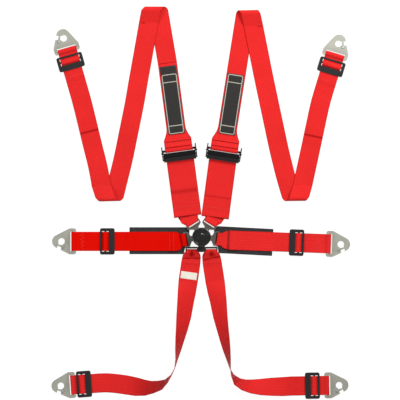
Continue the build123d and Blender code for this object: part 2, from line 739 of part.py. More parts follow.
def leg_strap(side, route, flip, last_heading, hook_gap):
    """From the crotch plate, down with a growing roll, round the bend on its edge, flat again."""
    bar_z, heading = PLATE_Z + PLATE_T / 2, 270 + side * LEG_SPLAY
    place = frame_at(side * LEG_X, LEG_BAR_Y - 12, heading)
    start = place.from_local_coords((20, 0, FLOOR_Z))
    strap = Strap(start.X, start.Y, FLOOR_Z, heading + 180, NARROW, side=-1)
    strap.go(12, width=44)
    strap.go(8, width=34)
    strap.veer(90)
    strap.go(6, bar_z - TONGUE_LOOP_R - FLOOR_Z, width=LEG_SLOT_L - 1)
    strap.go(6 + BAR_L / 2 - PLATE_T / 2)
    strap.bend(-180, TONGUE_LOOP_R)
    strap.go(2)
    strap.go(6)
    strap.go(strap.at.Y - LEG_BAR_Y + 12, SECOND_Z - strap.at.Z, width=34)
    strap.veer(heading)
    strap.go(22, width=48)
    strap.go(6, -PLY, width=NARROW)
    points = [Vector(strap.at.X, strap.at.Y)] + [Vector(x, y) for x, y, roll in route]
    for i, (x, y, roll) in enumerate(route):
        here, before = points[i + 1], points[i]
        onward = Vector(1, 0, 0).rotate(Axis.Z, last_heading)
        after = points[i + 2] if i + 2 < len(points) else here + onward
        ahead = ((here - before).normalized() + (after - here).normalized()).normalized()
        left = ahead.rotate(Axis.Z, 90)
        a = radians(roll)
        strap.across = left * cos(a) + Vector(0, 0, flip) * sin(a)
        strap.ahead = ahead
        strap.up = ahead.cross(strap.across)
        z = NARROW / 2 * abs(sin(a)) + FLOOR_Z * abs(cos(a))
        strap.at = Vector(x, y, z)
        strap.mark()
    strap.ahead = Vector(1, 0, 0).rotate(Axis.Z, last_heading)
    strap.across = strap.ahead.rotate(Axis.Z, 90) * (1 if strap.up.Z > 0 else -1)
    inner = strap.at + strap.ahead * TO_SLIDE
    slide = frame_at(inner.X, inner.Y, last_heading)
    bar = inner + strap.ahead * (SLIDE_L + hook_gap)
    hook_end(strap, TO_SLIDE, hook_gap, SHOULDER_TAIL)
    return strap, slide, frame_at(bar.X, bar.Y, last_heading)


def make_pad(name, place, length, width, notch_side):
    """A flat felt pad under a lap strap, with a notch that clears the leg strap's bar."""
    edge = notch_side * width / 2
    shelf = notch_side * (width / 2 - NOTCH_W)
    with BuildPart() as pad:
        with BuildSketch(place):
            with BuildLine():
                Polyline([(0, -edge), (length, -edge), (length, edge), (NOTCH_L + 3, edge),
                          (NOTCH_L, shelf), (0, shelf), (0, -edge)])
            make_face()
        extrude(amount=PAD_T)
        fillet(pad.edges().filter_by(Axis.Z), 4)
    save(pad.part, name)


def make_panel(name, place, length, width, thickness):
    with BuildPart() as panel:
        with BuildSketch(place):
            with Locations((length / 2, 0)):
                RectangleRounded(length, width, 2)
        extrude(amount=thickness)
    save(panel.part, name)


def make_strap_end(name, bar, side):
    """The hook with its gate on a strap's end. Side says where the mouth opens."""
    make_hook(name, bar, side)
    make_gate(name, bar, side)
    make_rivet(name, bar, side)
    make_gate_spring(name, bar, side)


LEFT_ADJUSTER, RIGHT_ADJUSTER = (-59.0, 225.0), (59.0, 224.0)
LOWER_LEFT, LOWER_RIGHT = 97.6, 82.4
PAD_T, NOTCH_L, NOTCH_W = 4.0, 15.0, 21.5
LABEL_AT, LABEL_W, LABEL_T = 48.0, 44.0, 1.0

# x, y and roll of the leg straps, from the crotch plate to the flat run towards the hook
LEFT_LEG = [(-35.5, -118, 0), (-39, -147, 20), (-42, -170, 30), (-47, -211, 40), (-52, -243, 52),
            (-57, -270, 62), (-62, -300, 73), (-66, -325, 84), (-71, -348, 90), (-80, -366, 88), (-93, -382, 78),
            (-110, -393, 60), (-130, -398, 50), (-150, -399.5, 34), (-172, -397, 16), (-200, -392, 0),
            (-235, -387, 0), (-256, -386, 0)]
RIGHT_LEG = [(36, -118, 0), (40.5, -147, 20), (44.5, -170, 30), (50, -211, 42), (56, -243, 52),
             (62, -274, 60), (67, -300, 68), (72, -325, 78), (76, -348, 88), (82, -366, 98), (94, -383, 116),
             (112, -392, 126), (132, -396, 136), (156, -397.5, 148), (184, -397, 160),
             (214, -396.5, 172), (238.5, -395, 180)]

ends = {}
for strap_name, args in {
    "lap_left": (180 + LAP_TONGUE_LEFT, -66, 180, -191, -341, 71.8),
    "lap_right": (-LAP_TONGUE_RIGHT, 66, -2.1, 189, 339, 67.6),
}.items():
    strap, *ends[strap_name] = lap_strap(*args)
    save(strap.solid(), f"{strap_name}_strap")

for strap_name, args in {
    "shoulder_left_lower": (90 + SHOULDER_TONGUE, LOWER_LEFT, LEFT_ADJUSTER, 55),
    "shoulder_right_lower": (90 - SHOULDER_TONGUE, LOWER_RIGHT, RIGHT_ADJUSTER, 51),
}.items():
    save(lower_shoulder(*args).solid(), f"{strap_name}_strap")

UPPER = {
    "shoulder_left": (
        LEFT_ADJUSTER, 97.6, [(-90.5, 462), (-114.5, 603)],
        (260, -15), [(-158.5, 462, 1), (-166, 422), (-177, 356), (-207, 208), (-233, 102.5)],
        (107, -15), [(-275, 190, 1), (-285.5, 230), (-316, 356), (-331.5, 410)], 16),
    "shoulder_right": (
        RIGHT_ADJUSTER, 81.1, [(117.3, 593.5)],
        (281.5, 9), [(157, 462, 1), (165, 422), (179, 356), (206, 229), (221.5, 166), (240, 103)],
        (75, 12), [(279.5, 190, 1), (288, 229), (315, 356), (327.8, 398)], 14),
}
for strap_name, args in UPPER.items():
    strap, *ends[strap_name] = upper_shoulder(*args)
    save(strap.solid(), f"{strap_name}_upper_strap")
    place = frame_at(*args[0], args[1])
    make_adjuster_frame(strap_name, place)
    make_grip_bar(strap_name, place)
    make_lever(strap_name, place)

for strap_name, args in {
    "leg_left": (-1, LEFT_LEG, -1, 184, 12),
    "leg_right": (1, RIGHT_LEG, 1, 1, 21),
}.items():
    strap, *ends[strap_name] = leg_strap(*args)
    save(strap.solid(), f"{strap_name}_strap")

for strap_name, (slide, bar) in ends.items():
    make_strap_end(strap_name, bar, 1 if strap_name.endswith("left") else -1)
    if not strap_name.startswith("leg"):
        make_slide(f"{strap_name}_slide", slide)
make_slide("leg_slides", ends["leg_left"][0], ends["leg_right"][0])

make_pad("lap_left_pad", frame_at(-32, -9.8, 180), 159, 71.5, 1)
make_pad("lap_right_pad", frame_at(32, -6.3, -3), 157, 71.5, -1)
for strap_name, length in (("shoulder_left", 182), ("shoulder_right", 162)):
    adjuster, heading = UPPER[strap_name][:2]
    place = frame_at(*adjuster, heading, FLOOR_Z + WEB / 2 + CLEAR)
    corner = place.from_local_coords((LABEL_AT, 0, 0))
    place = frame_at(corner.X, corner.Y, heading, corner.Z)
    make_panel(f"{strap_name}_label", place, length, LABEL_W, LABEL_T)
make_panel("approval_label", frame_at(-32.3, -93, 262.2, FLOOR_Z + WEB / 2 + CLEAR), 19, 43, 0.6)
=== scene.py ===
"""Looks of a six-point racing harness laid out flat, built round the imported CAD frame."""

import json
from math import atan2, ceil, cos, degrees, pi, radians, sin, sqrt

import bpy
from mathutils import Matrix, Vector, noise


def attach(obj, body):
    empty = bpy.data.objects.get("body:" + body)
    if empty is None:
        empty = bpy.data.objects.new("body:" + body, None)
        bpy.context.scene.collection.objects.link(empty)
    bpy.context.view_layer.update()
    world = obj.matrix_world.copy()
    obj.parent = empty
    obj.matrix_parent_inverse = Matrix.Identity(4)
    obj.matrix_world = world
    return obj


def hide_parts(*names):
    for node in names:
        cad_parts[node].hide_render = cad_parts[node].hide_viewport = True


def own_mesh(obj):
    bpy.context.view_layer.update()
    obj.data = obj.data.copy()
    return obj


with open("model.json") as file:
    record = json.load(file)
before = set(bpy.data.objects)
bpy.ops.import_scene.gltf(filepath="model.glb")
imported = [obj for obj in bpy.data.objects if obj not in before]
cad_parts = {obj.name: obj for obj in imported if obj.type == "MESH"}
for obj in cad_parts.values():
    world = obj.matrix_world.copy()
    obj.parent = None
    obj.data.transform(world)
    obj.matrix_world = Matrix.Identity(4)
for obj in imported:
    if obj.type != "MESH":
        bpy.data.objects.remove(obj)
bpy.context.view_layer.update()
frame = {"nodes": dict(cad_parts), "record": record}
MM = 0.001

# The straps' routes and what they thread through, in millimetres and degrees, as in the CAD model.
WEB, GAP = 1.4, 0.2   # the webbing's thickness, and the gap between plies
PLY = WEB + GAP
FLOOR_Z = WEB / 2   # heights are to the middle of the webbing
SECOND_Z = FLOOR_Z + PLY
NARROW, WIDE, SLOT_WEB = 50.0, 71.0, 32.5   # widths; the last is where webbing is gathered in a slot
TAIL_Z, SEWN_END, FOLD_R = 3.9, 36.0, 7.0
LAP_TAIL, SHOULDER_TAIL, TO_SLIDE = 14.0, 28.0, 36.0
PLATE_MID_Z, TONGUE_MID_Z = 4.0, 7.5
TONGUE_BAR_AT, BAR_L, PLATE_T = 44.25, 4.5, 3.0
LOOP_R = 2.5
LOOP_AT = TONGUE_BAR_AT - (BAR_L - PLATE_T) / 2
SHOULDER_TONGUE, LAP_TONGUE_LEFT, LAP_TONGUE_RIGHT = 32.2, 10.0, 7.0   # angles from the buckle's axes
LEG_X, LEG_BAR_Y, LEG_SPLAY, LEG_SLOT_L = 25.5, -35.75, 7.8, 27.0
HOOK_Z, HOOK_LOOP_R = 4.6, 3.5
WIDE_BAR, SLIDE_SLOT, MIDDLE_BAR, SLIDE_L = 15.0, 7.0, 5.0, 39.0
WEAVE_START, WEAVE_ANGLE, WEAVE_R, WEAVE_RUN = 14.5, 50.0, 2.0, 5.35   # over a slide's middle bar
TOP_BAR_AT, TOP_BAR_Z, GRIP_AT, GRIP_TURN_R = 6.5, 8.0, -8.0, 6.9   # the adjuster's two bars
LEFT_ADJUSTER, RIGHT_ADJUSTER = (-59.0, 225.0), (59.0, 224.0)
BEND_STEP = 9   # degrees between the sections in a bend
# Points along each leg strap, with its roll about its own length.
LEFT_LEG = [(-35.5, -118, 0), (-39, -147, 20), (-42, -170, 30), (-47, -211, 40), (-52, -243, 52),
            (-57, -270, 62), (-62, -300, 73), (-66, -325, 84), (-71, -348, 90), (-80, -366, 88),
            (-93, -382, 78), (-110, -393, 60), (-130, -398, 50), (-150, -399.5, 34), (-172, -397, 16),
            (-200, -392, 0), (-235, -387, 0), (-256, -386, 0)]
RIGHT_LEG = [(36, -118, 0), (40.5, -147, 20), (44.5, -170, 30), (50, -211, 42), (56, -243, 52),
             (62, -274, 60), (67, -300, 68), (72, -325, 78), (76, -348, 88), (82, -366, 98),
             (94, -383, 116), (112, -392, 126), (132, -396, 136), (156, -397.5, 148), (184, -397, 160),
             (214, -396.5, 172), (238.5, -395, 180)]
# Each upper strap: adjuster, heading there, points up to the top fold, that fold's new heading and
# slip, points down to the bottom fold, that fold's heading and slip, points up to the slide, and the
# gap from slide to hook. A point's third number is the layer it lies on.
UPPER = {
    "shoulder_left": (
        LEFT_ADJUSTER, 97.6, [(-90.5, 462), (-114.5, 603)],
        (260, -15), [(-158.5, 462, 1), (-166, 422), (-177, 356), (-207, 208), (-233, 102.5)],
        (107, -15), [(-275, 190, 1), (-285.5, 230), (-316, 356), (-331.5, 410)], 16),
    "shoulder_right": (
        RIGHT_ADJUSTER, 81.1, [(117.3, 593.5)],
        (281.5, 9), [(157, 462, 1), (165, 422), (179, 356), (206, 229), (221.5, 166), (240, 103)],
        (75, 12), [(279.5, 190, 1), (288, 229), (315, 356), (327.8, 398)], 14),
}


def turned(v, angle):
    """A vector turned about +Z."""
    c, s = cos(radians(angle)), sin(radians(angle))
    return Vector((v.x * c - v.y * s, v.x * s + v.y * c, v.z))


def heading_of(v):
    """Degrees from +X."""
    return degrees(atan2(v.y, v.x))


def ray(angle, dist=1.0):
    """A vector along the floor."""
    return Vector((dist * cos(radians(angle)), dist * sin(radians(angle)), 0))


class Strap:
    """Walks along the middle of a strap, noting its middle, section line, face normal and width.

    Every strap starts face down, at the hidden end."""

    def __init__(self, x, y, z, heading, width):
        self.at, self.ahead = Vector((x, y, z)), ray(heading)
        self.across, self.up = -turned(self.ahead, 90), Vector((0, 0, -1))
        self.width, self.sections = width, []
        self.mark()

    def mark(self):
        """Notes a section; its half width grows where its line is skewed."""
        skew = self.across.cross(self.ahead).length
        half = self.across * (self.width / skew / 2)
        self.sections.append((self.at.copy(), half, self.up.copy(), self.width))

    def go(self, length, rise=0.0, width=None):
        """Straight on, with an even rise and change of width."""
        self.at = self.at + self.ahead * length + Vector((0, 0, rise))
        self.width = width or self.width
        self.mark()

    def to(self, x, y, layer=0):
        """Straight to a place on the floor or on a layer above it."""
        step = Vector((x - self.at.x, y - self.at.y, 0))
        self.veer(heading_of(step))
        self.go(step.length, FLOOR_Z + layer * PLY - self.at.z)

    def veer(self, heading):
        """A new heading on the flat, with a mitred section."""
        side = 1 if self.up.z > 0 else -1
        new = ray(heading)
        self.sections.pop()
        self.across = turned((self.ahead + new).normalized(), 90) * side
        self.mark()
        self.ahead, self.across = new, turned(new, 90) * side

    def bend(self, angle, radius, slip=Vector((0, 0, 0))):
        """A bend out of the strap's own plane, sliding along by slip as it goes."""
        steps = max(3, round(abs(angle) / BEND_STEP))
        along = self.across * self.ahead.dot(self.across)
        out = self.ahead - along
        drift = along / out.length
        u, n = out.normalized(), self.up * (1 if angle > 0 else -1)
        start, turn = self.at.copy(), radians(abs(angle))
        for i in range(1, steps + 1):
            a = turn * i / steps
            self.at = start + u * (radius * sin(a)) + n * (radius * (1 - cos(a))) + drift * (radius * a)
            self.at += slip * (i / steps)
            self.up = (n * cos(a) - u * sin(a)) * (1 if angle > 0 else -1)
            self.ahead = along + (u * cos(a) + n * sin(a)) * out.length
            self.mark()

    def line(self, new):
        """Turns the last section's line to a new direction."""
        self.across = new if new.dot(self.across) > 0 else -new
        self.sections.pop()
        self.mark()

    def slope(self, angle, radius, z):
        """Up or down to a height, with a bend at each end."""
        way, side = (1 if z > self.at.z else -1), (1 if self.up.z > 0 else -1)
        run = (abs(z - self.at.z) - 2 * radius * (1 - cos(radians(angle)))) / sin(radians(angle))
        self.bend(angle * way * side, radius)
        self.go(run)
        self.bend(-angle * way * side, radius)

    def fold(self, heading, slip):
        """Over onto itself and off on a new heading: past flat by dip, then eased level."""
        dip, ease = 20.0, 14.0
        old, side = heading_of(self.ahead) % 360, (1 if self.up.z > 0 else -1)
        self.line(ray((old + heading) / 2))
        top = self.at.z + FOLD_R * (1 + cos(radians(dip)))
        run = (top - SECOND_Z - ease * (1 - cos(radians(dip)))) / sin(radians(dip))
        self.bend((180 + dip) * side, FOLD_R, Vector((slip, 0, 0)))
        self.go(run)
        self.bend(-dip * side, ease)
        flat = Vector((self.ahead.x, self.ahead.y, 0)).normalized()
        self.ahead = flat
        self.line(turned(flat, 90))

    def weave(self, inner):
        """Up over a slide's middle bar and down again, as the inner or the outer ply."""
        first, second = (WEAVE_R + PLY, WEAVE_R) if inner else (WEAVE_R, WEAVE_R + PLY)
        side = 1 if self.up.z > 0 else -1
        for sign, a, b in ((1, first, second), (-1, second, first)):
            self.bend(sign * WEAVE_ANGLE * side, a)
            self.go(WEAVE_RUN)
            self.bend(-sign * WEAVE_ANGLE * side, b)
            if sign > 0:
                self.go(weave_flat())

    def hook_end(self, to_slide, slide_to_hook, tail):
        """Over the tail, through the slide, round the hook's crossbar and back to the tail's end."""
        reach = WEAVE_START + 2 * weave_rise() + weave_flat()
        lead, rise, drop, side = 4.0, 6.0, 3.0, (1 if self.up.z > 0 else -1)
        self.go(to_slide - tail - lead)
        self.go(lead, SECOND_Z - self.at.z)
        self.go(tail + WEAVE_START)
        self.weave(False)
        past = SLIDE_L + slide_to_hook - reach
        self.go(past - rise - lead)
        self.go(rise, HOOK_Z + HOOK_LOOP_R - SECOND_Z)
        self.go(lead)
        self.bend(-180 * side, HOOK_LOOP_R)
        self.go(lead)
        self.go(drop, FLOOR_Z - self.at.z)
        self.go(past - drop - lead)
        self.weave(True)
        self.go(WEAVE_START + tail - 5)


def weave_rise():
    """How far along the strap's way one rise onto a slide's bar takes."""
    a = radians(WEAVE_ANGLE)
    return (2 * WEAVE_R + PLY) * sin(a) + WEAVE_RUN * cos(a)


def weave_flat():
    """The level run on top of a slide's middle bar."""
    return 2 * (WIDE_BAR + SLIDE_SLOT + MIDDLE_BAR / 2 - WEAVE_START - weave_rise())


def flat_length(v):
    """Length as seen from above."""
    return sqrt(v.x**2 + v.y**2)


def lap_route(tongue_heading, veer_x, heading, pad_end, hook_x, slide_to_hook):
    """Round the tongue's bar, along the pad, down to the floor and out to the hook."""
    side = 1 if veer_x > 0 else -1
    reach = abs(veer_x / cos(radians(tongue_heading)))
    spot = ray(tongue_heading, reach) + ray(heading, 14)
    low_z = TONGUE_MID_Z - LOOP_R
    strap = Strap(spot.x, spot.y, low_z, heading + 180, NARROW)
    strap.go(14, width=48)
    strap.veer(tongue_heading + 180)
    strap.go(reach - LOOP_AT - 8, width=SLOT_WEB)
    strap.go(8)
    strap.bend(-180, LOOP_R)
    strap.go(1)
    strap.slope(20, 5, low_z + PLY)
    strap.go(2.5, width=42)
    strap.go(2.5, width=45)
    if side < 0:
        strap.go(1, width=NARROW)
    strap.go(reach - flat_length(strap.at), width=46 if side > 0 else NARROW)
    strap.veer(heading)
    strap.go(2)
    strap.go(1, width=NARROW)
    strap.go(11)
    strap.go(6, -PLY)
    rate = abs(cos(radians(heading)))
    strap.go(abs(pad_end - strap.at.x) / rate + 3)
    strap.slope(15, 8, SECOND_Z)
    inner = hook_x - side * (slide_to_hook + SLIDE_L) * rate
    strap.hook_end(abs(inner - strap.at.x) / rate, slide_to_hook, LAP_TAIL)
    return strap


def lower_route(tongue_heading, heading, adjuster, hem_y):
    """Round the tongue's bar, up to the adjuster's grip bar and back on top to the hem."""
    line, toward = ray(heading), ray(tongue_heading)
    reach = (adjuster[0] * line.y - adjuster[1] * line.x) / (toward.x * line.y - toward.y * line.x)
    start = toward * reach + line * 12
    strap = Strap(start.x, start.y, FLOOR_Z, heading + 180, 64)
    strap.go(12, width=50)
    strap.veer(tongue_heading + 180)
    strap.slope(25, 4, TONGUE_MID_Z - LOOP_R)
    strap.go(flat_length(strap.at) - LOOP_AT, width=SLOT_WEB)
    strap.bend(-180, LOOP_R)
    strap.go(1)
    strap.slope(25, 4, SECOND_Z)
    strap.go(reach - flat_length(strap.at), width=52)
    strap.veer(heading)
    strap.go(14, width=66)
    strap.go(8, -PLY, width=WIDE)
    strap.go(flat_length(Vector((*adjuster, 0)) - strap.at) + GRIP_AT)
    strap.bend(180, GRIP_TURN_R)
    strap.go(2)
    strap.slope(35, 6, TAIL_Z)
    strap.go((strap.at.y - hem_y) / sin(radians(heading)))
    return strap


def upper_route(adjuster, heading, top, down_fold, down, up_fold, up, hook_gap):
    """Round the adjuster's top bar, up to the top fold, down to the bottom fold and up to the hook."""
    ahead, centre = ray(heading), Vector((*adjuster, 0))
    start = centre + ahead * SEWN_END
    strap = Strap(start.x, start.y, FLOOR_Z, heading + 180, 66)
    strap.go(6, width=WIDE)
    strap.go(SEWN_END - 6 - 18)
    strap.slope(25, 5, TOP_BAR_Z - 3)
    strap.go((strap.at - centre).dot(ahead) - TOP_BAR_AT + 1)
    strap.bend(-180, 3)
    strap.go(3.5)
    strap.slope(20, 6, SECOND_Z)
    strap.go(SEWN_END + 1 - (strap.at - centre).dot(ahead), width=68)
    strap.go(6, -PLY, width=62)
    strap.go(17, width=NARROW)
    for spot in top:
        strap.to(*spot)
    for (new, slip), run in ((down_fold, down), (up_fold, up)):
        strap.fold(new, slip)
        for spot in run:
            strap.to(*spot)
    strap.hook_end(TO_SLIDE, hook_gap, SHOULDER_TAIL)
    return strap


def leg_route(side, route, last_heading, hook_gap):
    """Round the crotch plate's bar, rolling on edge and back along the floor, and out to the hook."""
    heading = 270 + side * LEG_SPLAY
    start = Vector((side * LEG_X, LEG_BAR_Y - 12, 0)) + ray(heading, 20)
    strap = Strap(start.x, start.y, FLOOR_Z, heading + 180, NARROW)
    strap.go(12, width=44)
    strap.go(8, width=34)
    strap.veer(90)
    strap.go(6, PLATE_MID_Z - LOOP_R - FLOOR_Z, width=LEG_SLOT_L - 1)
    strap.go(6 + BAR_L / 2 - PLATE_T / 2)
    strap.bend(-180, LOOP_R)
    strap.go(3, width=33)
    strap.go(5, width=41)
    strap.go(strap.at.y - LEG_BAR_Y + 12, SECOND_Z - strap.at.z, width=47)
    strap.veer(heading)
    strap.go(22, width=NARROW)
    strap.go(6, -PLY)
    points = [Vector((strap.at.x, strap.at.y, 0))] + [Vector((x, y, 0)) for x, y, roll in route]
    points.append(points[-1] + ray(last_heading))
    for i, (x, y, roll) in enumerate(route):
        here, before, after = points[i + 1], points[i], points[i + 2]
        strap.ahead = ((here - before).normalized() + (after - here).normalized()).normalized()
        a = radians(roll)
        strap.across = turned(strap.ahead, 90) * cos(a) + Vector((0, 0, side)) * sin(a)
        strap.up = strap.ahead.cross(strap.across)
        strap.at = Vector((x, y, NARROW / 2 * abs(sin(a)) + FLOOR_Z * abs(cos(a))))
        strap.mark()
    strap.ahead = ray(last_heading)
    strap.across = turned(strap.ahead, 90) * (1 if strap.up.z > 0 else -1)
    strap.hook_end(TO_SLIDE, hook_gap, SHOULDER_TAIL)
    return strap


# ---------------------------------------------------------------- node materials
class Nodes:
    """Short ways to wire a procedural material."""

    def __init__(self, name, **sockets):
        self.mat = bpy.data.materials.new(name)
        self.mat.use_nodes = True
        self.tree = self.mat.node_tree
        self.shader = self.tree.nodes["Principled BSDF"]
        for key, value in sockets.items():
            self.shader.inputs[key.replace("_", " ")].default_value = value

    def add(self, kind, inputs=None, **props):
        node = self.tree.nodes.new(kind)
        for key, value in props.items():
            setattr(node, key, value)
        for key, value in (inputs or {}).items():
            if isinstance(value, bpy.types.NodeSocket):
                self.tree.links.new(value, node.inputs[key])
            else:
                node.inputs[key].default_value = value
        return node

    def math(self, op, a, b=0.0, c=0.0):
        return self.add("ShaderNodeMath", {0: a, 1: b, 2: c}, operation=op).outputs[0]

    def noise(self, coords, scale, detail=3.0):
        node = self.add("ShaderNodeTexNoise", {"Vector": coords, "Scale": scale, "Detail": detail})
        return node.outputs["Fac"]

    def ramp(self, fac, *stops):
        node = self.add("ShaderNodeValToRGB", {"Fac": fac})
        while len(node.color_ramp.elements) < len(stops):
            node.color_ramp.elements.new(0.5)
        for element, (at, colour) in zip(node.color_ramp.elements, stops):
            element.position, element.color = at, (*colour, 1)
        return node.outputs["Color"]

    def mix(self, fac, a, b, mode="MIX"):
        node = self.add("ShaderNodeMix", {0: fac}, data_type="RGBA", blend_type=mode)
        for socket, value in ((node.inputs[6], a), (node.inputs[7], b)):
            if isinstance(value, bpy.types.NodeSocket):
                self.tree.links.new(value, socket)
            else:
                socket.default_value = (*value, 1)
        return node.outputs[2]

    def scale_colour(self, colour, low, high, fac):
        """A colour made darker or lighter between two factors."""
        grey = self.ramp(fac, (0.0, (low,) * 3), (1.0, (high,) * 3))
        return self.mix(1.0, colour, grey, "MULTIPLY")

    def bump(self, height, strength, distance, under=None):
        node = self.add("ShaderNodeBump", {"Height": height, "Strength": strength, "Distance": distance})
        if under is not None:
            self.tree.links.new(under, node.inputs["Normal"])
        return node.outputs["Normal"]

    def finish(self, colour=None, normal=None, rough=None):
        for socket, key in ((colour, "Base Color"), (normal, "Normal"), (rough, "Roughness")):
            if socket is not None:
                self.tree.links.new(socket, self.shader.inputs[key])
        return self.mat

    def place(self):
        return self.add("ShaderNodeTexCoord").outputs["Object"]

    def split(self, vector):
        node = self.add("ShaderNodeSeparateXYZ", {0: vector})
        return node.outputs[0], node.outputs[1]


# the dark red of the painted shade at webbing edges, hem ends, creases, pleats and on-edge parts
PAINTED_SHADE_RED = (0.26, 0.0, 0.0)
# in metres: the pitch of the webbing's diagonals, the width of its herringbone, and two finer weaves
TWILL, CHEVRON, TAPE_RIB, LABEL_WEAVE = 0.0016, 0.0042, 0.0011, 0.0009


def webbing_material(name, light, dark):
    """Flat woven webbing: herringbone ribs along the strap, with painted shade at its edges, hem ends,
    creases, pleats and where it stands on edge.

    The edge map holds the place across the strap in u and the amount of painted shade in v."""
    n = Nodes(name, Specular_IOR_Level=0.03)
    uv = n.add("ShaderNodeUVMap", uv_map="weave").outputs[0]
    u, v = n.split(uv)
    chevron = n.math("PINGPONG", u, CHEVRON)
    phase = n.math("MULTIPLY", n.math("ADD", v, chevron), 2 * pi / TWILL)
    twill = n.math("SINE", phase)
    ribs = n.math("SINE", n.math("MULTIPLY", u, 2 * pi / CHEVRON))
    height = n.math("MULTIPLY_ADD", ribs, 0.5, twill)
    edge_u, painted_shade_v = n.split(n.add("ShaderNodeUVMap", uv_map="edge").outputs[0])
    # painted shade along the strap's two edges, joined by the painted shade from the edge map's v
    painted_edge_shade = n.math("MULTIPLY", n.math("GREATER_THAN", n.math("ABSOLUTE", edge_u), 0.945), 0.6)
    rim = n.math("MAXIMUM", painted_edge_shade, painted_shade_v)
    cloth = n.ramp(n.math("MULTIPLY_ADD", height, 0.3, 0.5), (0.0, dark), (0.75, light))
    cloth = n.scale_colour(cloth, 0.86, 1.05, n.noise(n.place(), 9.0, 2.0))
    cloth = n.scale_colour(cloth, 0.93, 1.04, n.noise(uv, 900.0, 1.0))
    # the painted shade is mixed in here, towards a dark red
    cloth = n.mix(n.math("MULTIPLY", rim, 0.8), cloth, PAINTED_SHADE_RED)
    fine = n.bump(height, 0.35, 0.00025)
    loose = n.bump(n.noise(n.place(), 28.0, 2.0), 0.25, 0.004, fine)
    rough = n.math("MULTIPLY_ADD", n.noise(n.place(), 40.0), 0.16, 0.42)
    return n.finish(cloth, loose, rough)


def metal_material(name, colour, rough, metallic, wear_and_glint=0.12, coat=0.0, specular=0.5):
    """Plated or painted metal with fine grain, faint handling marks and lighter edges, partly wear and partly
    a painted highlight.
    """
    n = Nodes(name, Metallic=metallic, Coat_Weight=coat, Coat_Roughness=0.1, Specular_IOR_Level=specular)
    at = n.place()
    stretched = n.add("ShaderNodeMapping", {"Vector": at, "Scale": (1.0, 0.12, 1.0)}).outputs[0]
    streak, blotch = n.noise(stretched, 260.0, 4.0), n.noise(at, 45.0)
    tone = n.scale_colour(colour, 0.82, 1.12, blotch)
    tone = n.scale_colour(tone, 0.9, 1.08, streak)
    point = n.add("ShaderNodeNewGeometry").outputs["Pointiness"]
    # lighter edges: partly wear, partly a painted highlight
    wear_and_glint_edges = n.ramp(point, (0.52, (0, 0, 0)), (0.6, (1, 1, 1)))
    pale = tuple(min(1.0, c * 1.6 + wear_and_glint) for c in colour)
    tone = n.mix(n.math("MULTIPLY", wear_and_glint_edges, 0.6), tone, pale)
    shine = n.math("MULTIPLY_ADD", blotch, 0.18, rough - 0.09)
    return n.finish(tone, n.bump(streak, 0.12, 0.0002), shine)


def felt_material(name, light, dark, scale=900.0):
    """Matted fibres in clumps, also used for thread."""
    n = Nodes(name, Sheen_Weight=0.3, Sheen_Roughness=0.6, Specular_IOR_Level=0.2)
    at = n.place()
    fibre, clump = n.noise(at, scale, 4.0), n.noise(at, 140.0)
    both = n.math("MULTIPLY_ADD", clump, 0.5, n.math("MULTIPLY", fibre, 0.5))
    tone = n.ramp(both, (0.3, dark), (0.7, light))
    return n.finish(tone, n.bump(fibre, 0.5, 0.0006, n.bump(clump, 0.4, 0.001)),
                    n.math("MULTIPLY_ADD", fibre, 0.2, 0.75))


def tape_material(name, light, dark):
    """Ribbed binding tape."""
    n = Nodes(name, Specular_IOR_Level=0.4)
    at = n.place()
    x, y = n.split(at)
    ribs = n.math("SINE", n.math("MULTIPLY", n.math("ADD", x, y), 2 * pi / TAPE_RIB))
    tone = n.ramp(n.math("MULTIPLY_ADD", ribs, 0.4, 0.5), (0.0, dark), (1.0, light))
    rough = n.math("MULTIPLY_ADD", n.noise(at, 60.0), 0.15, 0.5)
    return n.finish(tone, n.bump(ribs, 0.4, 0.0003), rough)


def label_material(name, ground, line, size, inset, line_w, corner, shift=0.0, band=0.0):
    """A coated cloth label with a plain rounded outline and nothing printed in it.

    shift moves the outline along the label; band, if given, is how far in the two cross lines are."""
    n = Nodes(name, Specular_IOR_Level=0.45)
    uv = n.add("ShaderNodeUVMap", uv_map="weave").outputs[0]
    u, v = n.split(uv)
    v = n.math("ADD", v, shift)
    half_u, half_v = size[0] / 2 - inset - corner, size[1] / 2 - inset - corner
    du = n.math("MAXIMUM", n.math("SUBTRACT", n.math("ABSOLUTE", u), half_u), 0.0)
    dv = n.math("MAXIMUM", n.math("SUBTRACT", n.math("ABSOLUTE", v), half_v), 0.0)
    square = n.math("ADD", n.math("MULTIPLY", du, du), n.math("MULTIPLY", dv, dv))
    dist = n.math("SUBTRACT", n.math("SQRT", square), corner)
    ring = n.math("LESS_THAN", n.math("ABSOLUTE", dist), line_w / 2)
    if band:
        across = n.math("ABSOLUTE", n.math("SUBTRACT", n.math("ABSOLUTE", v), size[1] / 2 - inset - band))
        on_line, inside = n.math("LESS_THAN", across, line_w / 2), n.math("LESS_THAN", dist, 0.0)
        cross_line = n.math("MULTIPLY", on_line, inside)
        ring = n.math("MAXIMUM", ring, cross_line)
    weave = n.math("MULTIPLY", n.math("SINE", n.math("MULTIPLY", u, 2 * pi / LABEL_WEAVE)),
                   n.math("SINE", n.math("MULTIPLY", v, 2 * pi / LABEL_WEAVE)))
    tone = n.scale_colour(n.mix(ring, ground, line), 0.85, 1.08, n.noise(n.place(), 60.0))
    rough = n.math("MULTIPLY_ADD", n.noise(n.place(), 90.0), 0.2, 0.4)
    return n.finish(tone, n.bump(weave, 0.3, 0.0002), rough)


